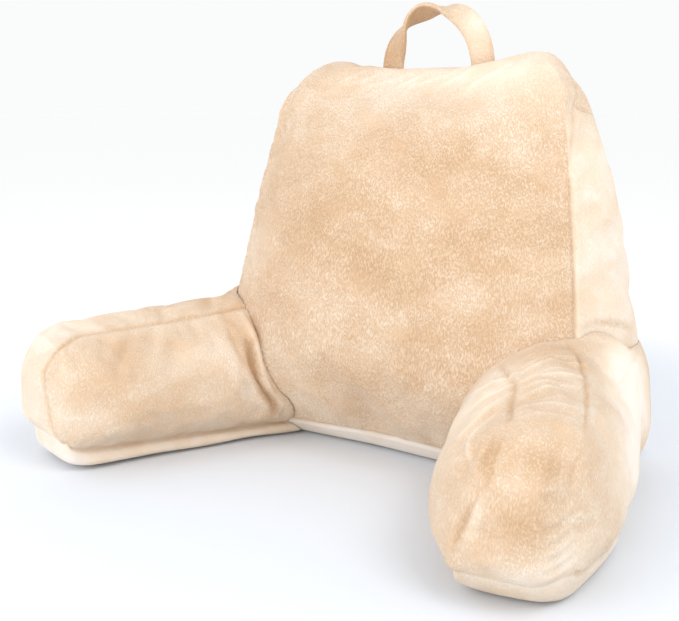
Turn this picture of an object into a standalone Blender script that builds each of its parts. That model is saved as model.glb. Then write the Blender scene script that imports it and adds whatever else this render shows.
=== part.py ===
"""Reading pillow: a filled backrest, two filled arms and a sewn-on strap handle.

Metres, +Z up, the front facing -Y. The origin is on the floor under the middle of the backrest's base.
Each filled piece is a cube whose edges become its seams and whose faces become its crowned panels.
"""
import math

import bmesh
import bpy
from mathutils import Vector

# Backrest, standing on the floor: seams, crowns and the lean of its front and back
PANEL_HEIGHT = 0.413
BASE_HALF_WIDTH = 0.246
TOP_HALF_WIDTH = 0.191
BASE_DEPTH = 0.228
FRONT_LEAN = 0.18
BACK_LEAN = 0.17
TOP_CORNER = 0.055
BASE_CORNER = 0.025
TOP_EDGE_ROUND = 0.042
FRONT_CROWN = 0.062
BACK_CROWN = 0.012
SIDE_CROWN = 0.015
TOP_CROWN = 0.029
TOP_DIP = 0.007

# What every filled piece shares where it meets the floor
SEAM_LIFT = 0.0205
FLOOR_ROLL = 0.026
FLOOR_BULGE = 0.010

# Arms, each on an arc that leaves the backrest outwards and bends forward
ARM_LENGTH = 0.302
ARM_ROOT_INSIDE = 0.25
ARM_SPLAY = 0.49
ARM_BEND = -0.215
ARM_ROOT_X = 0.196
ARM_ROOT_Y = 0.049
ARM_HEIGHT = 0.142
ARM_END_HEIGHT = 0.128
ARM_TOP_HALF_STRIP = 0.034
ARM_BASE_HALF_STRIP = 0.059
ARM_INNER_CROWN = 0.046
ARM_OUTER_CROWN = 0.036
ARM_OUTER_CROWN_AT_END = 0.008
ARM_END_CROWN = 0.019
ARM_TOP_CROWN = 0.005
ARM_CORNER = 0.050
ARM_TOP_POWER = 2.2
ARM_BASE_POWER = 4.0
ARM_END_POWER = 5.0

# Handle strap, sewn flat into the top and turned a quarter on its way over
STRAP_WIDTH = 0.028
STRAP_THICKNESS = 0.005
STRAP_HALF_SPAN = 0.061
STRAP_RISE = 0.076
STRAP_X = 0.0
STRAP_Y = 0.012
STRAP_FOOT_Z = 0.438

# Room between pieces that are sewn to each other
GAP = 0.0004

# Cells of each cube along its three sides
BACKREST_CELLS = (24, 12, 22)
ARM_CELLS = (24, 8, 12)
STRAP_CELLS = (28, 3, 1)

CREAM = (0.82, 0.66, 0.48, 1.0)
PALE_CREAM = (0.88, 0.75, 0.60, 1.0)


def clear_scene():
    """Remove every object of the open file."""
    for item in list(bpy.data.objects):
        bpy.data.objects.remove(item, do_unlink=True)


def new_collection(name):
    """Return a new collection linked to the scene."""
    group = bpy.data.collections.new(name)
    bpy.context.scene.collection.children.link(group)
    return group


def plush(name, colour):
    """Return a matt cloth material of one colour."""
    material = bpy.data.materials.new(name)
    material.use_nodes = True
    shader = material.node_tree.nodes["Principled BSDF"]
    shader.inputs["Base Color"].default_value = colour
    shader.inputs["Roughness"].default_value = 0.95
    shader.inputs["Metallic"].default_value = 0.0
    material.diffuse_color = colour
    return material


def crown(share, power):
    """Height of a puffed panel, 1 at its middle (share 0) and 0 at its seams (share -1 and 1)."""
    return max(0.0, 1.0 - abs(share) ** power)


def rounded(u, v, u_radius, v_radius):
    """Draw a corner of the square -1..1 in to a quarter arc, given its two radii as shares."""
    pu = max(0.0, (abs(u) - 1.0 + u_radius) / u_radius)
    pv = max(0.0, (abs(v) - 1.0 + v_radius) / v_radius)
    if pu > 0.0 and pv > 0.0:
        u = math.copysign(1.0 - u_radius + u_radius * pu * math.sqrt(1.0 - pv * pv / 2.0), u)
        v = math.copysign(1.0 - v_radius + v_radius * pv * math.sqrt(1.0 - pu * pu / 2.0), v)
    return u, v


def closer_at_seams(share):
    """Crowd evenly spaced rows towards the seams at -1 and 1."""
    return 0.55 * share + 0.45 * math.sin(share * math.pi / 2.0)


def floor_roll(distance):
    """Share of SEAM_LIFT that a base has sunk, at a distance from its seam: 1 where it lies flat."""
    return math.sin(min(distance / FLOOR_ROLL, 1.0) * math.pi / 2.0)


def floor_bulge(distance):
    """How far a base swells outwards between its seam and the floor."""
    return FLOOR_BULGE * math.sin(min(distance / FLOOR_ROLL, 1.0) * math.pi)


def backrest_point(across, depth, up):
    """Place a point of the cube on the backrest: across from the left, depth from the front, up."""
    if depth < 0.0 < up:
        depth, up = rounded(depth, up, 2.0 * TOP_EDGE_ROUND / BASE_DEPTH, 2.0 * TOP_EDGE_ROUND / PANEL_HEIGHT)
    radius = TOP_CORNER if up > 0.0 else BASE_CORNER
    x_share, z_share = rounded(across, up, radius / TOP_HALF_WIDTH, 2.0 * radius / PANEL_HEIGHT)
    rise = (z_share + 1.0) / 2.0
    height = PANEL_HEIGHT * rise
    half_width = BASE_HALF_WIDTH + (TOP_HALF_WIDTH - BASE_HALF_WIDTH) * rise
    x = x_share * (half_width + SIDE_CROWN * crown(depth, 2) * crown(up, 6))

    puff = crown(x_share, 2.5) * crown(2.0 * rise - 1.0, 3)
    front = FRONT_LEAN * height - FRONT_CROWN * puff
    back = BASE_DEPTH - BACK_LEAN * height + BACK_CROWN * puff
    y = front + (back - front) * (depth + 1.0) / 2.0 - BASE_DEPTH / 2.0

    z = SEAM_LIFT + height
    if up > 0.0:
        z += up ** 6 * (TOP_CROWN * crown(depth, 2) * crown(across, 6) - TOP_DIP * crown(x_share, 2))
    if up <= -1.0:
        to_side = (1.0 - abs(across)) * BASE_HALF_WIDTH
        to_front = (1.0 - abs(depth)) * BASE_DEPTH / 2.0
        z -= SEAM_LIFT * floor_roll(to_side) * floor_roll(to_front)
        x += math.copysign(floor_bulge(to_side), across)
        y += math.copysign(floor_bulge(to_front), depth)
    return Vector((x, y, z))


def arm_point(along, outward, up):
    """Place a point of the cube on the right arm: along from the root, outward from the seat, up."""
    share = (along + 1.0) / 2.0 * (1.0 + ARM_ROOT_INSIDE) - ARM_ROOT_INSIDE
    end_share = 2.0 * share - 1.0
    level = up
    if share > 0.5:
        end_share, level = rounded(end_share, up, 2.0 * ARM_CORNER / ARM_LENGTH, 2.0 * ARM_CORNER / ARM_HEIGHT)
    share = (end_share + 1.0) / 2.0

    body = crown(level, ARM_TOP_POWER if level > 0.0 else ARM_BASE_POWER)
    towards_end = max(0.0, share)
    reach = share * ARM_LENGTH + ARM_END_CROWN * crown(outward, 2) * body * towards_end ** 4
    strip = ARM_TOP_HALF_STRIP + (ARM_BASE_HALF_STRIP - ARM_TOP_HALF_STRIP) * (1.0 - level) / 2.0
    side_crown = ARM_INNER_CROWN
    if outward > 0.0:
        side_crown = ARM_OUTER_CROWN + (ARM_OUTER_CROWN_AT_END - ARM_OUTER_CROWN) * towards_end
    offset = outward * (strip + side_crown * body ** 0.75 * crown(max(0.0, end_share), ARM_END_POWER))

    z = SEAM_LIFT + (ARM_HEIGHT + (ARM_END_HEIGHT - ARM_HEIGHT) * towards_end) * (level + 1.0) / 2.0
    if up > 0.0:
        z += ARM_TOP_CROWN * crown(outward, 2) * up ** 4
    if up <= -1.0:
        to_end = (1.0 - along) * ARM_LENGTH / 2.0
        to_side = (1.0 - abs(outward)) * ARM_BASE_HALF_STRIP
        z -= SEAM_LIFT * floor_roll(to_end) * floor_roll(to_side)
        reach += floor_bulge(to_end)
        offset += math.copysign(floor_bulge(to_side), outward)

    radius = ARM_LENGTH / ARM_BEND
    heading = ARM_SPLAY + reach / radius
    x = ARM_ROOT_X + radius * (math.cos(ARM_SPLAY) - math.cos(heading)) + offset * math.cos(heading)
    y = ARM_ROOT_Y - radius * (math.sin(heading) - math.sin(ARM_SPLAY)) + offset * math.sin(heading)
    return Vector((x, y - BASE_DEPTH / 2.0, z))


def left_arm_point(along, outward, up):
    """Place a point of the cube on the left arm, the right one's mirror image."""
    point = arm_point(along, outward, up)
    point.x = -point.x
    return point


def strap_point(along, across, thick):
    """Place a point of the cube on the strap: along the arch, across its width, through its thickness."""
    turn = (along + 1.0) / 2.0 * math.pi
    centre = Vector((-STRAP_HALF_SPAN * math.cos(turn), 0.0, STRAP_RISE * math.sin(turn) ** 0.9))
    tangent = Vector((STRAP_HALF_SPAN * math.sin(turn), 0.0, STRAP_RISE * math.cos(turn))).normalized()
    outside = Vector((-tangent.z, 0.0, tangent.x))
    quarter = math.pi / 2.0 * min(1.0, math.sin(turn) * 1.15)
    face = Vector((0.0, -1.0, 0.0)) * math.cos(quarter) + outside * math.sin(quarter)
    width_way = tangent.cross(face).normalized()
    point = centre + width_way * across * STRAP_WIDTH / 2.0 + face * thick * STRAP_THICKNESS / 2.0
    return point + Vector((STRAP_X, STRAP_Y, STRAP_FOOT_Z))


def grid_cube(cells):
    """Return a cube of side 2 cut into the given number of cells along X, Y and Z."""
    mesh = bmesh.new()
    bmesh.ops.create_cube(mesh, size=2.0)
    for axis, count in enumerate(cells):
        if count < 2:
            continue
        ways = [edge for edge in mesh.edges if abs(edge.verts[0].co[axis] - edge.verts[1].co[axis]) > 1.0]
        bmesh.ops.subdivide_edges(mesh, edges=ways, cuts=count - 1, use_grid_fill=True)
    return mesh


def cushion(name, cells, place, material, group, spacing=closer_at_seams):
    """Build one closed piece by moving every point of a grid cube with the given function."""
    mesh = grid_cube(cells)
    for vertex in mesh.verts:
        vertex.co = place(*(spacing(share) for share in vertex.co))
    bmesh.ops.recalc_face_normals(mesh, faces=mesh.faces)
    bmesh.ops.triangulate(mesh, faces=mesh.faces)
    data = bpy.data.meshes.new(name)
    mesh.to_mesh(data)
    mesh.free()
    data.shade_smooth()
    data.set_sharp_from_angle(angle=math.radians(50.0))
    data.materials.append(material)
    item = bpy.data.objects.new(name, data)
    group.objects.link(item)
    return item


def backrest_cutter(backrest, group):
    """Return a copy of the backrest, swollen by the room that sewn-on pieces keep to it."""
    data = backrest.data.copy()
    data.name = "backrest_cutter"
    cutter = bpy.data.objects.new("backrest_cutter", data)
    group.objects.link(cutter)
    swell = cutter.modifiers.new("Swell", "DISPLACE")
    swell.strength = GAP
    swell.mid_level = 0.0
    cutter.hide_render = True
    cutter.display_type = "WIRE"
    return cutter


def cut_to_backrest(item, cutter):
    """Cut a piece off where it meets the backrest."""
    cut = item.modifiers.new("Root", "BOOLEAN")
    cut.operation = "DIFFERENCE"
    cut.solver = "EXACT"
    cut.object = cutter


def build():
    """Build the whole pillow."""
    clear_scene()
    pillow = new_collection("reading_pillow")
    cutters = new_collection("cutters")
    body_cloth = plush("cream_plush", CREAM)
    strap_cloth = plush("pale_plush", PALE_CREAM)

    backrest = cushion("backrest", BACKREST_CELLS, backrest_point, body_cloth, pillow)
    arm_right = cushion("arm_right", ARM_CELLS, arm_point, body_cloth, pillow)
    arm_left = cushion("arm_left", ARM_CELLS, left_arm_point, body_cloth, pillow)
    handle = cushion("handle", STRAP_CELLS, strap_point, strap_cloth, pillow, spacing=float)

    cutter = backrest_cutter(backrest, cutters)
    for item in (arm_right, arm_left, handle):
        cut_to_backrest(item, cutter)


build()
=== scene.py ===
import math

import bmesh
import bpy
import numpy as np
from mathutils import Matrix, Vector, noise
from mathutils.bvhtree import BVHTree
from mathutils.kdtree import KDTree


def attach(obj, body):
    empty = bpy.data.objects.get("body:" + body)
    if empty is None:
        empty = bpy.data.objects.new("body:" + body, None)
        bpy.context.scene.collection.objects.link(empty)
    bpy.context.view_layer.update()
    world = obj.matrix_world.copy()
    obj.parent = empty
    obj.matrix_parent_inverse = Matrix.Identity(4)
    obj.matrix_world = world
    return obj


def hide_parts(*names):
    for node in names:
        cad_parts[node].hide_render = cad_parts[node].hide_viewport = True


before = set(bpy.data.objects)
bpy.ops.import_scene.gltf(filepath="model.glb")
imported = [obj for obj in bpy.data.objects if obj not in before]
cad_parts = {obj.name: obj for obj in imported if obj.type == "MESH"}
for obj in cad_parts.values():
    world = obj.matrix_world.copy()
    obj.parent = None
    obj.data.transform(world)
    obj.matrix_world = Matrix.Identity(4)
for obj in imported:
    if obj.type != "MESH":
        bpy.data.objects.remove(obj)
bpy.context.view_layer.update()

scene = bpy.context.scene

# Camera: the photograph's viewpoint, to the right of the middle and a little above the arms.
camera_data = bpy.data.cameras.new("camera")
camera_data.sensor_width = 36.0
camera_data.lens = 54.78
camera = bpy.data.objects.new("camera", camera_data)
camera.location = (0.6409, -1.0516, 0.4091)
camera.rotation_euler = (math.pi / 2.0 - 0.2001, 0.0, 0.6339)
scene.collection.objects.link(camera)
scene.camera = camera

# Backrest: one big cover of plush, cut as a front panel that rolls over the top, a back panel, two wedge
# side panels and a base, sewn inside out, turned and stuffed with loose foam. It starts as a cube, whose
# edges are its seams.
PANEL_HEIGHT = 0.413
BASE_HALF_WIDTH = 0.246
TOP_HALF_WIDTH = 0.191
BASE_DEPTH = 0.228
FRONT_LEAN = 0.18
BACK_LEAN = 0.17
SIDE_BOW = 0.004
SHOULDER_SLIM = 0.010
REAR_SLIM = 0.015
RIGHT_TOP_CORNER = 0.027
LEFT_TOP_CORNER = 0.038
BASE_CORNER = 0.025
REAR_CORNER = 0.034
TOP_EDGE_ROUND = 0.042
FRONT_CROWN = 0.062
BACK_CROWN = 0.012
SIDE_CROWN = 0.017
TOP_CROWN = 0.029
TOP_DIP = 0.012
RIGHT_EAR = 0.011
LEFT_EAR = 0.004
EAR_AT = 0.86
EAR_WIDTH = 0.28
FRONT_TUCK = 0.018
FRONT_LIFT = 0.007
TUCK_HEIGHT = 0.05
SEAM_LIFT = 0.0205
FLOOR_ROLL = 0.026
SLOW_ROLL = 0.6
FLOOR_BULGE = 0.014
SEWN_ROOM = 0.0005
BASE_ROOM = 0.0005
FLOOR_ROOM = 0.0003
ON_SEAM = 0.9999
FILL_FRAMES = 20
FILL_SLACK = 0.02
SWELL_LIMIT = 0.006
FULL_SEAM = 0.0028
WELT_AT = 0.0065
WELT_HALF_WIDTH = 0.0040
PUCKER = 0.0003
PUCKER_PITCH = 0.015
PUCKER_REACH = 0.012
SHOWN_FRONT_SEAM_ROWS = 108


def crown(share, power):
    """Height of a puffed panel, 1 at its middle (share 0) and 0 at its seams (share -1 and 1)."""
    return max(0.0, 1.0 - abs(share) ** power)


def rounded(u, v, u_radius, v_radius):
    """Draw a corner of the square -1..1 in to a quarter arc, given its two radii as shares."""
    pu = max(0.0, (abs(u) - 1.0 + u_radius) / u_radius)
    pv = max(0.0, (abs(v) - 1.0 + v_radius) / v_radius)
    if pu > 0.0 and pv > 0.0:
        u = math.copysign(1.0 - u_radius + u_radius * pu * math.sqrt(1.0 - pv * pv / 2.0), u)
        v = math.copysign(1.0 - v_radius + v_radius * pv * math.sqrt(1.0 - pu * pu / 2.0), v)
    return u, v


def closer_at_seams(share):
    """Crowd evenly spaced rows a little towards the seams at -1 and 1."""
    return 0.75 * share + 0.25 * math.sin(share * math.pi / 2.0)


def floor_roll(distance):
    """Share of SEAM_LIFT that a base has sunk, at a distance from its seam: 1 where it lies flat."""
    return math.sin(min(distance / FLOOR_ROLL, 1.0) * math.pi / 2.0)


def floor_bulge(distance, fullness=FLOOR_BULGE):
    """How far a base swells outwards between its seam and the floor."""
    return fullness * math.sin(min(distance / FLOOR_ROLL, 1.0) * math.pi)


def backrest_point(across, depth, up):
    """Place a point of the cube on the backrest: across from the left, depth from the front, up."""
    if depth < 0.0 < up:
        roll = 2.0 * TOP_EDGE_ROUND
        depth, up = rounded(depth, up, roll / BASE_DEPTH, roll / PANEL_HEIGHT)
    radius = BASE_CORNER
    if up > 0.0:
        radius = RIGHT_TOP_CORNER if across > 0.0 else LEFT_TOP_CORNER
    x_share, z_share = rounded(across, up, radius / TOP_HALF_WIDTH, 2.0 * radius / PANEL_HEIGHT)
    rise = (z_share + 1.0) / 2.0
    height = PANEL_HEIGHT * rise
    half_width = BASE_HALF_WIDTH + (TOP_HALF_WIDTH - BASE_HALF_WIDTH) * rise
    half_width += SIDE_BOW * math.sin(math.pi * rise) - SHOULDER_SLIM * rise ** 3
    half_width -= REAR_SLIM * (depth + 1.0) / 2.0 * rise ** 6
    if depth > 0.0:
        half_depth = (BASE_DEPTH - (FRONT_LEAN + BACK_LEAN) * height) / 2.0
        depth_radius = min(1.0, REAR_CORNER / half_depth)
        x_share, depth = rounded(x_share, depth, REAR_CORNER / half_width, depth_radius)
    x = x_share * (half_width + SIDE_CROWN * crown(depth, 2) * crown(up, 2.5))
    puff = crown(x_share, 2.5) * crown(2.0 * rise - 1.0, 3)
    front = FRONT_LEAN * height - FRONT_CROWN * puff
    back = BASE_DEPTH - BACK_LEAN * height + BACK_CROWN * puff
    y = front + (back - front) * (depth + 1.0) / 2.0 - BASE_DEPTH / 2.0
    z = SEAM_LIFT + height
    if up > 0.0:
        z += up ** 6 * (TOP_CROWN * crown(depth, 2) * crown(across, 6) - TOP_DIP * crown(x_share, 2))
        ear = RIGHT_EAR if across > 0.0 else LEFT_EAR
        z += up ** 6 * ear * math.exp(-((abs(x_share) - EAR_AT) / EAR_WIDTH) ** 2)
    if depth < 0.0:
        drawn_in = -depth * crown(x_share, 2) * math.exp(-(height / TUCK_HEIGHT) ** 2)
        y += FRONT_TUCK * drawn_in
        z += FRONT_LIFT * drawn_in
    if up <= -1.0:
        to_side = (1.0 - abs(across)) * BASE_HALF_WIDTH
        to_edge = (1.0 - abs(depth)) * BASE_DEPTH / 2.0
        slower = SLOW_ROLL if depth < 0.0 else 1.0
        z -= (z - BASE_ROOM) * floor_roll(to_side) * floor_roll(to_edge * slower)
        x += math.copysign(floor_bulge(to_side), across)
        if depth > 0.0:
            y += floor_bulge(to_edge)
    return Vector((x, y, z))


def grid_cube(cells):
    """Return a cube of side 2 cut into the given number of cells along X, Y and Z."""
    cube = bmesh.new()
    bmesh.ops.create_cube(cube, size=2.0)
    for axis, count in enumerate(cells):
        ways = [edge for edge in cube.edges if abs(edge.verts[0].co[axis] - edge.verts[1].co[axis]) > 1.0]
        bmesh.ops.subdivide_edges(cube, edges=ways, cuts=count - 1, use_grid_fill=True)
    return cube


def sewn_cover(name, cells, place, trim=None):
    """Return a closed cover whose points keep their place on the cube in the attribute "cut"."""
    cube = grid_cube(cells)
    cut = cube.verts.layers.float_vector.new("cut")
    for vertex in cube.verts:
        vertex[cut] = vertex.co
        share = [closer_at_seams(value) for value in vertex.co]
        vertex.co = place(*(trim(*share) if trim else share))
    bmesh.ops.recalc_face_normals(cube, faces=cube.faces)
    data = bpy.data.meshes.new(name)
    cube.to_mesh(data)
    cube.free()
    data.shade_smooth()
    cover = bpy.data.objects.new(name, data)
    scene.collection.objects.link(cover)
    return cover


def read_points(data):
    """Return a mesh's vertex places as an array."""
    places = np.empty(len(data.vertices) * 3, np.float32)
    data.vertices.foreach_get("co", places)
    return places.reshape(-1, 3).astype(float)


def read_cut(data):
    """Return each vertex's place on the cube, -1 to 1 three times."""
    values = np.empty(len(data.vertices) * 3, np.float32)
    data.attributes["cut"].data.foreach_get("vector", values)
    return values.reshape(-1, 3).astype(float)


def read_normals(data):
    """Return each vertex's outward direction."""
    values = np.empty(len(data.vertices) * 3, np.float32)
    data.vertex_normals.foreach_get("vector", values)
    return values.reshape(-1, 3).astype(float)


def move_points(data, places):
    """Put a mesh's vertices at the given places."""
    data.vertices.foreach_set("co", places.astype(np.float32).ravel())
    data.update()


def fill_covers(covers):
    """Blow the covers up for some frames, with their seams and hidden faces held, and keep the result."""
    for cover, held in covers:
        pins = cover.vertex_groups.new(name="held")
        for index, weight in enumerate(held):
            if weight > 0.0:
                pins.add([index], float(weight), "REPLACE")
        filling = cover.modifiers.new("Filling", "CLOTH")
        cloth = filling.settings
        cloth.quality = 4
        cloth.mass = 0.3
        cloth.tension_stiffness = 12.0
        cloth.compression_stiffness = 12.0
        cloth.shear_stiffness = 4.0
        cloth.bending_stiffness = 4.0
        cloth.shrink_min = -FILL_SLACK
        cloth.use_pressure = True
        cloth.uniform_pressure_force = 4.0
        cloth.effector_weights.gravity = 0.0
        cloth.vertex_group_mass = "held"
        filling.point_cache.frame_end = FILL_FRAMES
    for step in range(FILL_FRAMES):
        scene.frame_set(step + 1)
    depsgraph = bpy.context.evaluated_depsgraph_get()
    for cover, _ in covers:
        start = read_points(cover.data)
        shift = read_points(cover.evaluated_get(depsgraph).data) - start
        reach = np.maximum(np.linalg.norm(shift, axis=1), 1e-9)
        move_points(cover.data, start + shift * np.minimum(1.0, SWELL_LIMIT / reach)[:, None])
        cover.modifiers.clear()
        cover.vertex_groups.clear()
    scene.frame_set(1)


def finer(cover):
    """Subdivide a cover once and keep the result."""
    cover.modifiers.new("Finer", "SUBSURF").levels = 1
    depsgraph = bpy.context.evaluated_depsgraph_get()
    data = bpy.data.meshes.new_from_object(cover.evaluated_get(depsgraph))
    cover.modifiers.clear()
    cover.data = data
    data.name = cover.name
    data.shade_smooth()


def to_line(places, line, margin):
    """Return each place's distance to a line of points, how far along it lies, and the line's length."""
    line = np.asarray(line, float)
    distance = np.full(len(places), np.inf)
    along = np.zeros(len(places))
    low, high = line.min(0) - margin, line.max(0) + margin
    near = np.nonzero(((places > low) & (places < high)).all(1))[0]
    start = 0.0
    for first, second in zip(line[:-1], line[1:]):
        way = second - first
        length = np.linalg.norm(way)
        if length < 1e-6:
            continue
        share = np.clip((places[near] - first) @ way / length ** 2, 0.0, 1.0)
        reach = np.linalg.norm(places[near] - first - share[:, None] * way, axis=1)
        closer = reach < distance[near]
        distance[near[closer]] = reach[closer]
        along[near[closer]] = start + share[closer] * length
        start += length
    return distance, along, start


def cut_line(places, cut, **fixed):
    """Return the row of points at the fixed cube places, such as first=1 and second=-1, in order."""
    names = ("first", "second", "third")
    held = np.ones(len(places), bool)
    for name, value in fixed.items():
        held &= np.abs(cut[:, names.index(name)] - value) < 1e-4
    free = next(axis for axis, name in enumerate(names) if name not in fixed)
    row = np.nonzero(held)[0]
    return places[row[np.argsort(cut[row, free])]]


def gathers(along, pitch):
    """Uneven ripple along a seam, -1 to 1, about one crest for each pitch."""
    turn = 2.0 * math.pi * along / pitch
    return (np.sin(turn + 2.2 * np.sin(turn * 0.19 + 1.0)) + 0.6 * np.sin(turn * 0.57 + 4.0)) / 1.6


def press_seam(cover, lines, depth=0.0022, half_width=0.0022, welt=0.0010, taper=0.0):
    """Draw the cover in along its seams, with a soft welt and small gathers on both sides, and mark painted
    shade along each groove, darker for deeper seams.

    A taper above 0 is the length over which both ends of a seam fade out.
    """
    data = cover.data
    places, normals = read_points(data), read_normals(data)
    marks = read_mark(data, "seam")
    shift = np.zeros(len(places))
    for line in lines:
        distance, along, length = to_line(places, line, 0.05)
        near = np.isfinite(distance)
        strength = np.ones(len(places))
        if taper:
            strength = np.clip(np.minimum(along, length - along) / taper, 0.0, 1.0)
        groove = np.zeros(len(places))
        groove[near] = -depth * np.exp(-(distance[near] / half_width) ** 2)
        groove[near] += welt * np.exp(-((distance[near] - WELT_AT) / WELT_HALF_WIDTH) ** 2)
        fade = np.exp(-(distance[near] / PUCKER_REACH) ** 2)
        fade *= np.minimum(1.0, distance[near] / WELT_HALF_WIDTH)
        groove[near] += PUCKER * gathers(along[near], PUCKER_PITCH) * fade
        groove *= strength
        shift = np.where(np.abs(groove) > np.abs(shift), groove, shift)
        # Painted shade: the seam mark darkens the plush along each groove, in step with the groove's depth.
        shade = depth / FULL_SEAM * strength * np.exp(-(distance / (half_width * 1.3)) ** 2)
        marks = np.maximum(marks, np.where(near, shade, 0.0))
    move_points(data, places + normals * shift[:, None])
    write_mark(data, "seam", marks)


def read_mark(data, name):
    """Return a mark that was painted on a mesh's points, or zeros where there is none."""
    marks = np.zeros(len(data.vertices), np.float32)
    if name in data.attributes:
        data.attributes[name].data.foreach_get("value", marks)
    return marks.astype(float)


def write_mark(data, name, marks):
    """Paint a mark on a mesh's points."""
    if name not in data.attributes:
        data.attributes.new(name, "FLOAT", "POINT")
    data.attributes[name].data.foreach_set("value", marks.astype(np.float32))


def brush_nap_and_light(cover, marks, strokes):
    """Mark soft patches paler (above 0) or darker, as painted light and painted shade and as darker and
    paler patches of the pile.

    Each stroke is a soft patch, given as its centre, its reach and its strength.
    """
    places = read_points(cover.data)
    for centre, reach, strength in strokes:
        distance = np.linalg.norm((places - np.array(centre)) / np.array(reach), axis=1)
        marks = marks + strength * np.exp(-distance ** 2)
    write_mark(cover.data, "nap", marks)


def drawn_on(cover, lines, step=0.03):
    """Turn lines of a few cube places each into smooth lines of points on the cover."""
    places, cut = read_points(cover.data), read_cut(cover.data)
    tree = KDTree(len(cut))
    for index, place in enumerate(cut):
        tree.insert(place, index)
    tree.balance()
    drawn = []
    for line in lines:
        stops = [Vector(stop) for stop in line]
        stops = [stops[0] * 2.0 - stops[1]] + stops + [stops[-1] * 2.0 - stops[-2]]
        curve = []
        for before, first, second, after in zip(stops, stops[1:], stops[2:], stops[3:]):
            count = max(1, round((second - first).length / step))
            for t in (index / count for index in range(count)):
                curve.append(0.5 * (2.0 * first + (second - before) * t
                                    + (2.0 * before - 5.0 * first + 4.0 * second - after) * t * t
                                    + (3.0 * first - before - 3.0 * second + after) * t ** 3))
        points = []
        for stop in curve + [stops[-2]]:
            near = tree.find_n(stop, 4)
            weights = np.array([1.0 / (distance + 0.002) for _, _, distance in near])
            points.append(weights @ places[[index for _, index, _ in near]] / weights.sum())
        drawn.append(np.array(points))
    return drawn


def crease(cover, folds):
    """Raise or sink soft folds and paint their tone: painted highlight along ridges and painted shade along
    valleys.

    Each fold is a height, a half width, a painted tone and then its cube places. At height 0 it only paints
    the tone.
    """
    data = cover.data
    places, normals, marks = read_points(data), read_normals(data), read_mark(data, "nap")
    shift = np.zeros(len(places))
    lines = drawn_on(cover, [fold[3:] for fold in folds])
    for (height, half_width, tone, *_), line in zip(folds, lines):
        distance, along, length = to_line(places, line, 3.0 * half_width)
        near = np.isfinite(distance)
        taper = np.sin(np.clip(along[near] / length, 0.0, 1.0) * math.pi) ** 0.6
        profile = taper * np.exp(-(distance[near] / half_width) ** 2)
        shift[near] += height * profile
        marks[near] += tone * profile
    move_points(data, places + normals * shift[:, None])
    write_mark(data, "nap", marks)


def surface_of(cover):
    """Return a cover's surface for nearest-point questions."""
    return BVHTree.FromPolygons([vertex.co for vertex in cover.data.vertices],
                                [face.vertices for face in cover.data.polygons])


def lumps(cover, height, pitch, seed):
    """Let the loose filling show as low, wide swellings."""
    data = cover.data
    places, normals = read_points(data), read_normals(data)
    offset = Vector((seed * 7.31, seed * 3.17, seed * 1.93))
    rise = np.array([noise.noise(Vector(place) / pitch + offset) for place in places])
    move_points(data, places + normals * (height * rise)[:, None])


def rest_on_floor(cover):
    """Flatten a cover where it would sink into what it stands on."""
    places = read_points(cover.data)
    places[:, 2] = np.maximum(places[:, 2], FLOOR_ROOM)
    move_points(cover.data, places)


backrest = sewn_cover("backrest_pillow", cells=(80, 34, 74), place=backrest_point)
cut = read_cut(backrest.data)
at_seam = (np.abs(cut) > ON_SEAM).sum(1) >= 2
front_top = (cut[:, 1] < -ON_SEAM) & (cut[:, 2] > ON_SEAM)
fill_covers([(backrest, (at_seam & ~front_top) | (cut[:, 2] < -ON_SEAM))])
finer(backrest)
lumps(backrest, height=0.0022, pitch=0.095, seed=1)
places, cut = read_points(backrest.data), read_cut(backrest.data)
right_front_seam = cut_line(places, cut, first=1, second=-1)
over_the_corner = drawn_on(backrest, [
    ((1, -1, 0.45), (1, -0.94, 0.58), (1, -0.72, 0.72), (1, -0.49, 0.82), (1, -0.2, 0.92), (1, 0.1, 0.99)),
])
press_seam(backrest, [right_front_seam[:SHOWN_FRONT_SEAM_ROWS]]
           + [cut_line(places, cut, first=-1, second=-1)]
           + [cut_line(places, cut, first=side, second=1) for side in (-1, 1)]
           + [cut_line(places, cut, second=depth, third=-1) for depth in (-1, 1)]
           + [cut_line(places, cut, first=side, third=-1) for side in (-1, 1)]
           + [cut_line(places, cut, second=1, third=1)])
press_seam(backrest, over_the_corner, depth=0.0012, half_width=0.0018, welt=0.0004, taper=0.02)
# Painted light: the base strips and the right side panel are painted paler, and the first three strokes
# paint a highlight along the top. The other strokes make darker and paler patches on the front panel.
base = cut[:, 2] < -ON_SEAM
painted_light_side_panel = (cut[:, 0] > ON_SEAM) * np.clip((0.85 - cut[:, 2]) / 0.3, 0.0, 1.0)
brush_nap_and_light(backrest, base + 0.58 * painted_light_side_panel, [
    ((0.14, -0.03, 0.43), (0.09, 0.06, 0.07), 0.48),
    ((0.03, -0.03, 0.44), (0.10, 0.05, 0.045), 0.40),
    ((-0.12, -0.03, 0.43), (0.07, 0.05, 0.035), 0.20),
    ((0.02, -0.13, 0.12), (0.07, 0.06, 0.06), -0.38),
    ((-0.05, -0.12, 0.27), (0.10, 0.06, 0.08), -0.34),
    ((-0.16, -0.09, 0.33), (0.06, 0.05, 0.08), -0.40),
    ((0.06, -0.12, 0.33), (0.07, 0.05, 0.05), -0.28),
    ((0.09, -0.12, 0.25), (0.07, 0.05, 0.05), -0.26),
    ((-0.16, -0.12, 0.15), (0.015, 0.04, 0.03), -0.25),
    ((-0.09, -0.13, 0.10), (0.06, 0.05, 0.05), 0.12),
    ((0.15, -0.10, 0.22), (0.04, 0.05, 0.10), 0.12),
])
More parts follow.
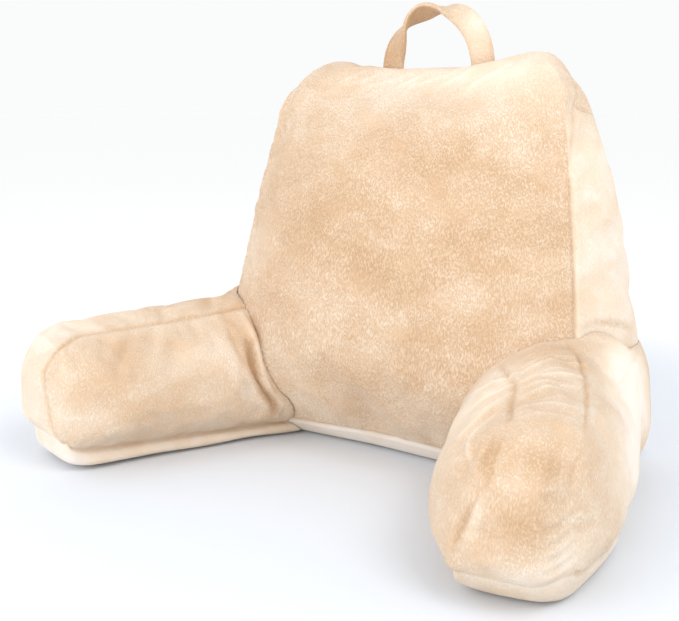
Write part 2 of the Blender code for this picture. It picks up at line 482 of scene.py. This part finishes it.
# Backrest folds: each one's tone follows its height, painted paler on ridges as a painted highlight and
# darker in valleys as painted shade.
TOP_PULLS = [
    (0.0014, 0.0028, 0.16,
     (start, -0.5, 1), (start - 0.08, -0.78, 1), (start - reach, -1, 1.0 - reach / 4.0))
    for start, reach in (
        (-0.34, 0.2), (-0.22, 0.3), (-0.02, 0.36), (0.1, 0.22), (0.26, 0.34), (0.37, 0.2), (0.6, 0.26))]
SIDE_PULLS = [
    (0.0024, 0.0042, 0.10, (-0.97, -1, level), (-0.82, -1, level - 0.06), (-0.68, -1, level - 0.13))
    for level in (0.34, 0.02, -0.10)]
SEAM_WELTS = [
    (0.0014, 0.0022, 0.15, (across, depth, 0.15), (across, depth, -0.05), (across, depth, -0.26))
    for across, depth in ((1, -0.96), (0.965, -1))]
crease(backrest, TOP_PULLS + SIDE_PULLS + SEAM_WELTS + [
    (0.0045, 0.0040, 0.25,
     (-0.73, -1, -0.35), (-0.58, -1, -0.46), (-0.5, -1, -0.58), (-0.46, -1, -0.72), (-0.46, -1, -0.95)),
    (-0.0030, 0.0045, -0.70, (-0.66, -1, -0.45), (-0.6, -1, -0.55), (-0.55, -1, -0.7), (-0.53, -1, -0.92)),
    (0.0025, 0.0055, 0.12, (-0.42, -1, -0.66), (-0.4, -1, -0.8), (-0.4, -1, -0.96)),
    (-0.0015, 0.0030, -0.40, (1, -0.5, 0.81), (1, -0.2, 0.78), (1, 0.1, 0.75)),
    (-0.0020, 0.0035, -0.35, (1, -0.85, -0.18), (1, -0.44, -0.19), (1, 0.14, -0.25)),
])
rest_on_floor(backrest)

# Plush: a short dense pile on a knitted back. Laid one way it is dark and the other way pale, in soft
# patches, and it lies in small tufts a few millimetres long that catch the light at their tips, painted
# paler there as a painted highlight. The piece's marks add painted light and painted shade: paler lit sides
# and fold ridges, darker seams and fold valleys.
PLUSH_DARK = (0.58, 0.365, 0.205, 1.0)
PLUSH_MIDDLE = (0.745, 0.54, 0.365, 1.0)
PLUSH_LIGHT = (0.845, 0.70, 0.55, 1.0)
PLUSH_PALE = (0.93, 0.835, 0.745, 1.0)


def link(tree, from_socket, to_socket):
    """Join two sockets of a node tree."""
    tree.links.new(from_socket, to_socket)


def math_node(tree, kind, first, second):
    """Return the output of a math node on two sockets or numbers."""
    node = tree.nodes.new("ShaderNodeMath")
    node.operation = kind
    for slot, value in enumerate((first, second)):
        if isinstance(value, (int, float)):
            node.inputs[slot].default_value = value
        else:
            link(tree, value, node.inputs[slot])
    return node.outputs[0]


def stretched_noise(tree, coordinates, turn, scale, detail):
    """Return noise that is drawn out along one direction of the piece."""
    mapping = tree.nodes.new("ShaderNodeMapping")
    mapping.inputs["Rotation"].default_value = turn
    mapping.inputs["Scale"].default_value = scale
    link(tree, coordinates, mapping.inputs["Vector"])
    grain = tree.nodes.new("ShaderNodeTexNoise")
    grain.inputs["Scale"].default_value = 1.0
    grain.inputs["Detail"].default_value = detail
    grain.inputs["Distortion"].default_value = 0.3
    link(tree, mapping.outputs[0], grain.inputs["Vector"])
    return grain.outputs["Fac"]


def spread(tree, value, low, high):
    """Return a value stretched so that low becomes 0 and high becomes 1."""
    node = tree.nodes.new("ShaderNodeMapRange")
    node.interpolation_type = "SMOOTHSTEP"
    node.inputs["From Min"].default_value = low
    node.inputs["From Max"].default_value = high
    link(tree, value, node.inputs["Value"])
    return node.outputs["Result"]


def pile_group():
    """Build the plush's node group, which turns a piece's marks into a colour and a height."""
    tree = bpy.data.node_groups.new("plush_pile", "ShaderNodeTree")
    tree.interface.new_socket("Nap_and_light", in_out="INPUT", socket_type="NodeSocketFloat")
    tree.interface.new_socket("Seam", in_out="INPUT", socket_type="NodeSocketFloat")
    tree.interface.new_socket("Grain", in_out="INPUT", socket_type="NodeSocketFloat")
    tree.interface.new_socket("Color", in_out="OUTPUT", socket_type="NodeSocketColor")
    tree.interface.new_socket("Height", in_out="OUTPUT", socket_type="NodeSocketFloat")
    inside = tree.nodes.new("NodeGroupInput")
    outside = tree.nodes.new("NodeGroupOutput")
    coordinates = tree.nodes.new("ShaderNodeTexCoord").outputs["Object"]

    wide = stretched_noise(tree, coordinates, (0, 0, 0), (9, 9, 11), 2.0)
    patches = stretched_noise(tree, coordinates, (0.4, 0.2, 0.3), (30, 30, 40), 3.0)
    fields = stretched_noise(tree, coordinates, (0.1, 0.7, 0.2), (16, 16, 16), 1.0)
    streaks = stretched_noise(tree, coordinates, (0.2, 0.5, 0.4), (17, 17, 26), 4.0)
    steep = stretched_noise(tree, coordinates, (0.0, 0.25, 0.0), (720, 720, 360), 2.0)
    slanting = stretched_noise(tree, coordinates, (0.0, 0.85, 0.3), (720, 720, 240), 2.0)
    pile = stretched_noise(tree, coordinates, (0, 0, 0), (1100, 1100, 900), 1.0)

    mixed = tree.nodes.new("ShaderNodeMix")
    link(tree, spread(tree, fields, 0.44, 0.56), mixed.inputs["Factor"])
    link(tree, steep, mixed.inputs["A"])
    link(tree, slanting, mixed.inputs["B"])
    tufts = spread(tree, mixed.outputs["Result"], 0.36, 0.64)
    shown = spread(tree, patches, 0.10, 0.52)
    rough = spread(tree, inside.outputs["Nap_and_light"], 0.9, 0.1)
    # Tuft tips: the pile's grain, painted paler at each tip as a painted highlight.
    tips = math_node(tree, "MULTIPLY", math_node(tree, "SUBTRACT", tufts, 0.5), shown)
    tips = math_node(tree, "MULTIPLY", tips, rough)

    stroked = math_node(tree, "SUBTRACT", spread(tree, streaks, 0.485, 0.535), 0.5)
    # Colour tone: noise patches and streaks, the nap marks with their painted light and painted shade, the
    # tips' painted highlight, and painted shade along the seams.
    tone = math_node(tree, "MULTIPLY", wide, 0.65)
    for part, share in ((patches, 0.35), (stroked, 0.07), (inside.outputs["Nap_and_light"], 0.50),
                        (tips, inside.outputs["Grain"]), (inside.outputs["Seam"], -0.25)):
        tone = math_node(tree, "ADD", tone, math_node(tree, "MULTIPLY", part, share))

    ramp = tree.nodes.new("ShaderNodeValToRGB")
    ramp.color_ramp.elements[0].position = 0.12
    ramp.color_ramp.elements[0].color = PLUSH_DARK
    ramp.color_ramp.elements[1].position = 1.0
    ramp.color_ramp.elements[1].color = PLUSH_PALE
    ramp.color_ramp.elements.new(0.48).color = PLUSH_MIDDLE
    ramp.color_ramp.elements.new(0.76).color = PLUSH_LIGHT
    link(tree, tone, ramp.inputs["Fac"])
    link(tree, ramp.outputs["Color"], outside.inputs["Color"])

    height = math_node(tree, "ADD", tips, math_node(tree, "MULTIPLY", pile, 0.30))
    height = math_node(tree, "ADD", height, math_node(tree, "MULTIPLY", patches, 0.6))
    link(tree, height, outside.inputs["Height"])
    return tree


PILE = pile_group()


def plush(name, grain):
    """Return a plush material that reads the piece's painted seam shade and its nap marks with their
    painted light and painted shade.
    """
    material = bpy.data.materials.new(name)
    material.use_nodes = True
    tree = material.node_tree
    shader = tree.nodes["Principled BSDF"]
    shader.inputs["Roughness"].default_value = 0.93
    shader.inputs["Specular IOR Level"].default_value = 0.25
    shader.inputs["Sheen Weight"].default_value = 0.45
    shader.inputs["Sheen Roughness"].default_value = 0.45
    shader.inputs["Sheen Tint"].default_value = (1.0, 0.93, 0.84, 1.0)
    pile = tree.nodes.new("ShaderNodeGroup")
    pile.node_tree = PILE
    pile.inputs["Grain"].default_value = grain
    for mark_name, socket in (("nap", "Nap_and_light"), ("seam", "Seam")):
        mark = tree.nodes.new("ShaderNodeAttribute")
        mark.attribute_name = mark_name
        link(tree, mark.outputs["Fac"], pile.inputs[socket])
    link(tree, pile.outputs["Color"], shader.inputs["Base Color"])
    bump = tree.nodes.new("ShaderNodeBump")
    bump.inputs["Strength"].default_value = 0.55
    bump.inputs["Distance"].default_value = 0.0016
    link(tree, pile.outputs["Height"], bump.inputs["Height"])
    link(tree, bump.outputs["Normal"], shader.inputs["Normal"])
    return material


backrest.data.materials.append(plush("backrest_plush", grain=0.36))
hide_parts("backrest")
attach(backrest, "root")

# Arms: each is an inner and an outer panel joined by a boxing strip over the top, round the free end and
# under it, stuffed like the backrest and sewn to it all round its open root.
ARM_LENGTH = 0.302
ARM_ROOT_INSIDE = 0.25
ARM_SPLAY = 0.49
ARM_BEND = -0.215
ARM_ROOT_X = 0.196
ARM_ROOT_Y = 0.049
ARM_HEIGHT = 0.142
ARM_END_HEIGHT = 0.128
ARM_TOP_HALF_STRIP = 0.034
ARM_BASE_HALF_STRIP = 0.059
ARM_INNER_CROWN = 0.046
ARM_OUTER_CROWN = 0.036
ARM_OUTER_CROWN_AT_END = 0.008
ARM_END_CROWN = 0.014
ARM_INNER_END = 0.010
ARM_TOP_CROWN = 0.009
ARM_CORNER = 0.044
ARM_OUTER_CORNER = 0.034
ARM_LOW_CORNER = 0.036
ARM_UNDERCUT = 0.26
ARM_END_DRAWN_IN = 0.4
ARM_FLOOR_BULGE = 0.020
BULGE_GROWS_OVER = 0.05
RIGHT_BASE_CORNER = 0.080
RIGHT_UNDER_CORNER = 0.066
RIGHT_TOE = 0.006
LEFT_BASE_CORNER = 0.032
LEFT_UNDER_CORNER = 0.020
LEFT_TOE = -0.004
LEFT_SEAM_RISE = 0.009
LEFT_END_BULGE = 0.014
ARM_TOP_POWER = 2.2
ARM_BASE_POWER = 4.0
ARM_END_POWER = 5.0
FLARE_START = 0.22
FLARE = 0.050
FLARE_AT_ROOT = 0.005
FLARE_LIFT = 0.020
HELD_ROOT = -0.96
ROW_STEP = 0.04
ROW_HALVINGS = 8


def arm_point(along, outward, up, base_corner=RIGHT_BASE_CORNER, under_corner=RIGHT_UNDER_CORNER,
              toe=RIGHT_TOE, seam_rise=0.0, end_bulge=0.0):
    """Place a point of the cube on the right arm: along from the root, outward from the seat, up.

    A toe above 0 pushes the foot of the free end forward, and one below 0 shortens the arm.
    """
    side_share = outward
    share = (along + 1.0) / 2.0 * (1.0 + ARM_ROOT_INSIDE) - ARM_ROOT_INSIDE
    end_share = 2.0 * share - 1.0
    level = up
    if share > 0.5:
        corner = ARM_CORNER if up > 0.0 else ARM_LOW_CORNER
        end_share, level = rounded(end_share, up, 2.0 * corner / ARM_LENGTH, 2.0 * corner / ARM_HEIGHT)
    strip = ARM_TOP_HALF_STRIP + (ARM_BASE_HALF_STRIP - ARM_TOP_HALF_STRIP) * (1.0 - level) / 2.0
    if share > 0.5 and outward > 0.0:
        radius = ARM_OUTER_CORNER + (base_corner - ARM_OUTER_CORNER) * (1.0 - level) / 2.0
        across_radius = min(1.0, radius / strip)
        end_share, outward = rounded(end_share, outward, 2.0 * radius / ARM_LENGTH, across_radius)
        if level < 0.0:
            radius = max(0.001, under_corner * end_share)
            across_radius = radius / ARM_BASE_HALF_STRIP
            outward, level = rounded(outward, level, across_radius, 2.0 * radius / ARM_HEIGHT)
    share = (end_share + 1.0) / 2.0
    body = crown(level, ARM_TOP_POWER if level > 0.0 else ARM_BASE_POWER)
    end_body = body if level > 0.0 else 1.0 - ARM_END_DRAWN_IN * level ** 4
    towards_end = max(0.0, share)
    reach = share * ARM_LENGTH + towards_end ** 4 * end_body * (
        ARM_END_CROWN * crown(outward, 2) + ARM_INNER_END * max(0.0, -outward) ** 2)
    reach += towards_end ** 4 * toe * crown(outward, 2) * max(0.0, -level) ** 2
    reach += min(0.0, toe) * towards_end ** 2
    side_crown = ARM_INNER_CROWN
    if outward > 0.0:
        side_crown = ARM_OUTER_CROWN + (ARM_OUTER_CROWN_AT_END - ARM_OUTER_CROWN) * towards_end
    offset = outward * (strip + side_crown * body ** 0.75 * crown(max(0.0, end_share), ARM_END_POWER))
    if outward > 0.0:
        offset -= ARM_UNDERCUT * under_corner * towards_end ** 2 * outward * (1.0 - level) / 2.0
    z = SEAM_LIFT + (ARM_HEIGHT + (ARM_END_HEIGHT - ARM_HEIGHT) * towards_end) * (level + 1.0) / 2.0
    z += seam_rise * towards_end ** 2 * (1.0 - level) / 2.0
    if up > 0.0:
        z += ARM_TOP_CROWN * crown(outward, 2) * up ** 4
    if up <= -1.0:
        to_end = (1.0 - along) * ARM_LENGTH / 2.0
        to_side = (1.0 - abs(side_share)) * ARM_BASE_HALF_STRIP
        z -= (z - BASE_ROOM) * floor_roll(to_end * SLOW_ROLL) * floor_roll(to_side)
        reach += floor_bulge(to_end * SLOW_ROLL, end_bulge) * floor_roll(to_side)
        fullness = ARM_FLOOR_BULGE * min(1.0, 0.3 + to_end / BULGE_GROWS_OVER)
        if side_share > 0.0:
            fullness *= (1.0 - max(0.0, end_share)) ** 2 * min(1.0, max(0.0, 4.0 * share))
        offset += math.copysign(floor_bulge(to_side, fullness), side_share)
    radius = ARM_LENGTH / ARM_BEND
    heading = ARM_SPLAY + reach / radius
    x = ARM_ROOT_X + radius * (math.cos(ARM_SPLAY) - math.cos(heading)) + offset * math.cos(heading)
    y = ARM_ROOT_Y - radius * (math.sin(heading) - math.sin(ARM_SPLAY)) + offset * math.sin(heading)
    if outward > 0.0 and share < FLARE_START:
        flare = (FLARE_START - share) / (FLARE_START + ARM_ROOT_INSIDE)
        x += outward * flare ** 2 * (FLARE * (1.0 - flare) + FLARE_AT_ROOT * flare)
        y += outward * flare ** 2 * FLARE
        lift = math.sin(min(1.0, 2.0 * flare) * math.pi / 2.0) * FLARE_LIFT
        z += outward * lift * (level + 1.0) / 2.0
    return Vector((x, y - BASE_DEPTH / 2.0, z))


def left_arm_point(along, outward, up):
    """Place a point of the cube on the left arm: the right one mirrored, with a squarer, fuller end."""
    point = arm_point(along, outward, up, LEFT_BASE_CORNER, LEFT_UNDER_CORNER, LEFT_TOE, LEFT_SEAM_RISE,
                      LEFT_END_BULGE)
    point.x = -point.x
    return point


backrest_surface = surface_of(backrest)


def clearance(point):
    """How far a point stands outside the backrest, below zero inside it."""
    nearest, outward, _, _ = backrest_surface.find_nearest(point)
    return (point - nearest).dot(outward)


def trimmed_at_backrest(place):
    """Return a function that shortens each row of an arm to the part that stands outside the backrest."""
    starts = {}

    def trim(along, second, third):
        key = (round(second, 5), round(third, 5))
        if key not in starts:
            inside, outside = -1.0, -1.0
            while outside < 1.0 and clearance(place(outside, second, third)) < SEWN_ROOM:
                inside, outside = outside, outside + ROW_STEP
            for _ in range(ROW_HALVINGS):
                middle = (inside + outside) / 2.0
                if clearance(place(middle, second, third)) < SEWN_ROOM:
                    inside = middle
                else:
                    outside = middle
            starts[key] = outside
        start = starts[key]
        return start + (1.0 - start) * (along + 1.0) / 2.0, second, third

    return trim


def keep_clear(cover):
    """Push any point that has swollen into the backrest back out of it."""
    data = cover.data
    for vertex in data.vertices:
        nearest, outward, _, distance = backrest_surface.find_nearest(vertex.co)
        if distance < 0.03 and (vertex.co - nearest).dot(outward) < SEWN_ROOM:
            vertex.co = nearest + outward * SEWN_ROOM
    data.update()


arms = []
for name, place in (("arm_pillow_right", arm_point), ("arm_pillow_left", left_arm_point)):
    arms.append(sewn_cover(name, cells=(66, 28, 38), place=place, trim=trimmed_at_backrest(place)))
held = []
for arm in arms:
    cut = read_cut(arm.data)
    at_seam = (np.abs(cut[:, 1]) > ON_SEAM) & ((np.abs(cut[:, 2]) > ON_SEAM) | (cut[:, 0] > ON_SEAM))
    held.append(at_seam | (cut[:, 0] < HELD_ROOT) | (cut[:, 2] < -ON_SEAM))
fill_covers(list(zip(arms, held)))
RIGHT_SEAMS = [
    ((-0.95, -1, 0.8), (-0.7, -1, 0.84), (-0.45, -1, 0.9), (-0.25, -1, 0.95), (-0.08, -1, 1),
     (0.1, -0.96, 1), (0.3, -0.92, 1), (0.5, -0.82, 1), (0.84, -0.58, 1)),
    ((-0.95, 0.25, 1), (-0.66, 0.44, 1), (-0.28, 0.7, 1), (0.03, 0.82, 1), (0.37, 0.93, 1), (0.8, 0.97, 1)),
]
RIGHT_FAINT_SEAMS = [
    ((0.84, -0.58, 1), (0.97, -0.58, 0.97), (1, -0.66, 0.7), (1, -0.77, 0.42), (1, -0.97, 0.14),
     (0.96, -1, -0.2), (0.95, -1, -0.8)),
    ((0.8, 0.97, 1), (0.97, 0.98, 0.8), (0.99, 0.98, 0.5), (1, 0.98, 0.1)),
]
# Fold tones: each gather, streak and diagonal is painted paler on its ridges as a painted highlight and
# darker in its valleys as painted shade. Folds of height 0 only paint a paler or darker band of painted
# light and shade.
TOP_GATHERS = [
    (1.35 * height, 0.0024, 270 * height,
     (start, -0.95 + 0.5 * max(0.0, start), 1), (start - lean, -0.1, 1), (start - 1.6 * lean, end, 1))
    for start, lean, end, height in (
        (-0.42, 0.05, 0.5, 0.0012), (-0.3, 0.08, 0.75, 0.0017), (-0.19, 0.04, 0.4, 0.0009),
        (-0.04, 0.08, 0.8, 0.0018), (0.08, 0.05, 0.7, 0.0011), (0.23, 0.09, 0.85, 0.0016),
        (0.34, 0.05, 0.5, 0.0010), (0.5, 0.07, 0.85, 0.0014), (0.68, 0.04, 0.7, 0.0009))]
INNER_GATHERS = [
    (1.35 * height, 0.0025, 260 * height,
     (start, -0.96, 1), (start + 0.03, -1, 0.88), (1.3 * start + 0.05, -1, 0.76),
     (min(0.95, 1.9 * start + 0.1), -1, low))
    for start, low, height in (
        (-0.36, 0.4, 0.0018), (-0.24, 0.62, 0.0011), (-0.1, 0.5, 0.0019), (0.06, 0.66, 0.0012),
        (0.17, 0.5, 0.0018), (0.31, 0.62, 0.0013), (0.44, 0.55, 0.0017))]
END_STREAKS = [
    (0.0014, 0.0026, 0.25, (1, second + 0.1, 0.45), (1, second, 0.08), (1, second - 0.06, -0.4))
    for second in (-0.92, -0.84, -0.74)]
END_DIAGONALS = [
    (0.6 * height, 0.0046, 55 * height,
     (0.97, 1, level + 0.06), (1, 0.93, level), (1, 0.72, level - 0.06), (1, inner, level - 0.12))
    for level, inner, height in (
        (0.12, 0.5, 0.0030), (0.04, 0.55, -0.0026), (-0.05, 0.42, 0.0036), (-0.13, 0.5, -0.0030),
        (-0.22, 0.36, 0.0038), (-0.31, 0.45, -0.0028), (-0.4, 0.3, 0.0034), (-0.52, 0.4, -0.0024),
        (-0.62, 0.25, 0.0028))]
RIGHT_FOLDS = TOP_GATHERS + INNER_GATHERS + END_STREAKS + END_DIAGONALS + [
    (-0.0016, 0.0036, -0.40, (1, -0.98, 0.1), (0.97, -1, -0.1), (0.95, -1, -0.4)),
    (0.0, 0.0170, -0.60, (1, -1, 0.8), (1, -0.8, 0.78), (1, -0.6, 0.76)),
    (0.0, 0.0130, -0.45, (1, -0.2, 0.82), (1, 0.3, 0.78), (1, 0.75, 0.72)),
    (0.0, 0.0100, 0.25, (1, -0.6, 0.5), (1, -0.15, 0.5), (1, 0.3, 0.45)),
    (0.0, 0.0300, -0.55, (1, -0.75, 0.05), (1, 0, 0), (1, 0.8, -0.15)),
    (0.0, 0.0160, 0.30, (1, -0.5, -0.6), (1, 0, -0.7), (1, 0.6, -0.6)),
    (0.0, 0.0130, -0.35, (-0.5, -0.6, 1), (-0.4, -0.1, 1), (-0.36, 0.3, 1)),
    (0.0, 0.0400, 0.60, (-0.8, 1, 0.5), (-0.45, 1, 0.4), (0.1, 1, 0.5)),
    (0.0, 0.0300, 0.40, (-0.6, 1, -0.2), (-0.3, 1, -0.1), (0.3, 1, 0)),
]
# The deep valley down the left arm's inner root is painted dark as painted shade.
LEFT_FOLDS = [
    (0.0045, 0.0042, 0.25,
     (-0.9, -1, 0.95), (-0.92, -1, 0.6), (-0.92, -1, 0.3), (-0.9, -1, 0), (-0.85, -1, -0.6)),
    (-0.0090, 0.0052, -1.20,
     (-0.86, -1, 0.55), (-0.84, -1, 0.3), (-0.82, -1, 0.05), (-0.8, -1, -0.25), (-0.76, -1, -0.8)),
    (-0.0010, 0.0100, -0.35, (-0.74, -1, 0.9), (-0.76, -1, 0.6), (-0.8, -1, 0.3), (-0.82, -1, 0)),
    (0.0020, 0.0100, 0.10,
     (-0.66, -1, 0.8), (-0.61, -1, 0.5), (-0.63, -1, 0.15), (-0.66, -1, -0.15), (-0.6, -1, -0.6)),
    (0.0020, 0.0055, 0.15, (-0.58, -1, 0.1), (-0.58, -1, -0.2), (-0.56, -1, -0.5)),
    (-0.0010, 0.0040, -0.30, (-0.66, -1, 0.78), (-0.68, -1, 0.4), (-0.72, -1, 0.05)),
    (0.0025, 0.0050, 0.15, (-0.65, -0.12, 1), (-0.81, -0.01, 1), (-0.96, 0, 1)),
]
# Painted light and painted shade on the arms: paler patches on the lit faces and tops, darker ones near the
# roots where the arms meet the backrest.
RIGHT_LIGHT_AND_SHADE = [
    ((0.20, -0.23, 0.13), (0.05, 0.07, 0.05), 0.50),
    ((0.27, -0.22, 0.165), (0.04, 0.05, 0.012), 0.12),
    ((0.225, -0.14, 0.165), (0.04, 0.03, 0.02), -0.35),
    ((0.275, -0.27, 0.165), (0.02, 0.025, 0.015), -0.25),
    ((0.34, -0.18, 0.10), (0.04, 0.13, 0.08), 0.55),
    ((0.275, -0.06, 0.15), (0.03, 0.06, 0.04), 0.50),
    ((0.31, 0.0, 0.10), (0.05, 0.10, 0.08), 0.40),
    ((0.335, -0.34, 0.05), (0.02, 0.03, 0.03), 0.35),
    ((0.23, -0.33, 0.06), (0.02, 0.04, 0.04), 0.20),
]
LEFT_LIGHT_AND_SHADE = [
    ((-0.35, -0.31, 0.10), (0.04, 0.08, 0.07), 0.35),
    ((-0.29, -0.37, 0.03), (0.06, 0.04, 0.05), 0.30),
    ((-0.30, -0.29, 0.16), (0.06, 0.08, 0.02), 0.40),
    ((-0.24, -0.14, 0.165), (0.03, 0.05, 0.012), -0.35),
    ((-0.15, -0.17, 0.09), (0.02, 0.03, 0.05), -0.15),
]
for index, arm in enumerate(arms):
    finer(arm)
    lumps(arm, height=0.0025, pitch=0.075, seed=index + 2)
    places, cut = read_points(arm.data), read_cut(arm.data)
    seams = [cut_line(places, cut, second=side, third=-1) for side in (-1, 1)]
    if arm.name == "arm_pillow_right":
        folds, strokes = RIGHT_FOLDS, RIGHT_LIGHT_AND_SHADE
        all_over, base_painted_light, end_tone = 0.05, 0.35, 0.0
        upper, lower = drawn_on(arm, RIGHT_SEAMS), drawn_on(arm, RIGHT_FAINT_SEAMS)
        press_seam(arm, upper, depth=0.0020, taper=0.03)
        press_seam(arm, lower, depth=0.0010, half_width=0.0018, welt=0.0004, taper=0.03)
    else:
        folds, strokes = LEFT_FOLDS, LEFT_LIGHT_AND_SHADE
        all_over, base_painted_light, end_tone = 0.14, 0.50, 0.20
        seams += [cut_line(places, cut, second=side, third=1) for side in (-1, 1)]
        seams += [cut_line(places, cut, first=1, second=side) for side in (-1, 1)]
    press_seam(arm, seams)
    # Painted light: the base strips are painted paler; the left arm's end and each whole arm are paler by
    # the given amounts.
    base, end = cut[:, 2] < -ON_SEAM, cut[:, 0] > ON_SEAM
    brush_nap_and_light(arm, all_over + base_painted_light * base + end_tone * end, strokes)
    crease(arm, folds)
    keep_clear(arm)
    rest_on_floor(arm)
    arm.data.materials.append(plush(arm.name + "_plush", grain=0.22))
    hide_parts(arm.name.replace("arm_pillow", "arm"))
    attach(arm, "root")

# Carrying handle: a strip of the same plush folded to a flat strap, its two ends sewn into the top seam so
# that it leaves flat to the front and turns a quarter on its way over.
STRAP_WIDTH = 0.028
STRAP_THICKNESS = 0.005
STRAP_HALF_SPAN = 0.061
STRAP_RISE = 0.076
STRAP_Y = 0.012
STRAP_FOOT_Z = 0.438
STRAP_EDGE_SEAM = 5.0 / 6.0
STRAP_ROW_STEP = 0.002


def eased(share):
    """Return a share that leaves 0 and reaches 1 gently."""
    share = min(1.0, max(0.0, share))
    return share * share * (3.0 - 2.0 * share)


def strap_point(along, across, thick):
    """Place a point of the cube on the strap: along the arch, across its width, through its thickness."""
    turn = (along + 1.0) / 2.0 * math.pi
    centre = Vector((-STRAP_HALF_SPAN * math.cos(turn), 0.0, STRAP_RISE * math.sin(turn) ** 0.9))
    tangent = Vector((STRAP_HALF_SPAN * math.sin(turn), 0.0, STRAP_RISE * math.cos(turn))).normalized()
    outside = Vector((-tangent.z, 0.0, tangent.x))
    early, late = eased((turn / math.pi - 0.07) / 0.36), eased((turn / math.pi - 0.35) / 0.4)
    quarter = math.pi / 2.0 * early * (1.38 - 0.95 * late)
    if turn > math.pi / 2.0:
        quarter *= math.sin(turn) ** 0.7
    face = Vector((0.0, -1.0, 0.0)) * math.cos(quarter) + outside * math.sin(quarter)
    width_way = tangent.cross(face).normalized()
    across, thick = rounded(across, thick, 0.12, 0.9)
    point = centre + width_way * across * STRAP_WIDTH / 2.0 + face * thick * STRAP_THICKNESS / 2.0
    return point + Vector((0.0, STRAP_Y, STRAP_FOOT_Z))


strap_reach = {}


def trim_both_ends(along, across, thick):
    """Shorten each row of the strap to the part that stands outside the backrest, at both of its feet."""
    key = (round(across, 5), round(thick, 5))
    if key not in strap_reach:
        limit = 1.0
        while any(clearance(strap_point(end * limit, across, thick)) < SEWN_ROOM for end in (-1, 1)):
            limit -= STRAP_ROW_STEP
        strap_reach[key] = limit
    return along * strap_reach[key], across, thick


strap = sewn_cover("carry_strap", cells=(80, 12, 4), place=strap_point, trim=trim_both_ends)
finer(strap)
places, cut = read_points(strap.data), read_cut(strap.data)
edge_seams = [cut_line(places, cut, second=side * STRAP_EDGE_SEAM, third=face)
              for side in (-1, 1) for face in (-1, 1)]
press_seam(strap, edge_seams, depth=0.0008, half_width=0.0012, welt=0.0002)
# Painted shade on the strap's underside, a painted highlight on its right foot and painted shade on its
# left foot.
shaded_underside = (cut[:, 2] < -0.9) & (cut[:, 0] < 0.3)
brush_nap_and_light(strap, -0.8 * shaded_underside, [
    ((0.055, 0.01, 0.49), (0.03, 0.05, 0.06), 0.6),
    ((-0.06, 0.0, 0.47), (0.03, 0.05, 0.05), -0.45),
])
strap.data.materials.append(plush("handle_plush", grain=0.20))
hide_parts("handle")
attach(strap, "root")

# Floor: a white studio surface that runs out of sight, tinted grey-blue near the middle as a painted shadow
# round the object.
floor_mesh = bmesh.new()
bmesh.ops.create_grid(floor_mesh, x_segments=2, y_segments=2, size=30.0)
floor_data = bpy.data.meshes.new("studio_floor")
floor_mesh.to_mesh(floor_data)
floor_mesh.free()
floor = bpy.data.objects.new("studio_floor", floor_data)
scene.collection.objects.link(floor)
floor_paint = bpy.data.materials.new("white_floor")
floor_paint.use_nodes = True
floor_tree = floor_paint.node_tree
floor_tree.nodes["Principled BSDF"].inputs["Roughness"].default_value = 0.9
from_middle = floor_tree.nodes.new("ShaderNodeVectorMath")
from_middle.operation = "LENGTH"
link(floor_tree, floor_tree.nodes.new("ShaderNodeTexCoord").outputs["Object"], from_middle.inputs[0])
painted_shadow_mix = floor_tree.nodes.new("ShaderNodeMix")
painted_shadow_mix.data_type = "RGBA"
# Painted shadow: grey-blue within 0.42 m of the middle, fading to white by 0.9 m.
painted_shadow_mix.inputs["A"].default_value = (0.78, 0.83, 0.90, 1.0)
painted_shadow_mix.inputs["B"].default_value = (1.0, 1.0, 1.0, 1.0)
link(floor_tree, spread(floor_tree, from_middle.outputs["Value"], 0.42, 0.9), painted_shadow_mix.inputs["Factor"])
link(floor_tree, painted_shadow_mix.outputs["Result"], floor_tree.nodes["Principled BSDF"].inputs["Base Color"])
floor_data.materials.append(floor_paint)

# Light: a white surround, with a soft lamp high on the right and a wider one low at the front.
scene.view_settings.view_transform = "Standard"
world = bpy.data.worlds.new("white_surround")
scene.world = world
world.use_nodes = True
world.node_tree.nodes["Background"].inputs["Color"].default_value = (0.99, 0.995, 1.0, 1.0)
world.node_tree.nodes["Background"].inputs["Strength"].default_value = 0.97


def soft_lamp(name, place, target, size, watts, colour):
    """Hang a square lamp that faces a target."""
    lamp_data = bpy.data.lights.new(name, "AREA")
    lamp_data.shape = "SQUARE"
    lamp_data.size = size
    lamp_data.energy = watts
    lamp_data.color = colour
    lamp = bpy.data.objects.new(name, lamp_data)
    lamp.location = place
    lamp.rotation_euler = (Vector(target) - Vector(place)).to_track_quat("-Z", "Y").to_euler()
    scene.collection.objects.link(lamp)


soft_lamp("key_lamp", (1.5, -0.7, 1.9), (0.0, -0.1, 0.2), 1.0, 14.0, (1.0, 0.99, 0.97))
soft_lamp("front_lamp", (-0.5, -2.3, 0.9), (0.0, 0.0, 0.2), 1.6, 17.0, (1.0, 1.0, 1.0))
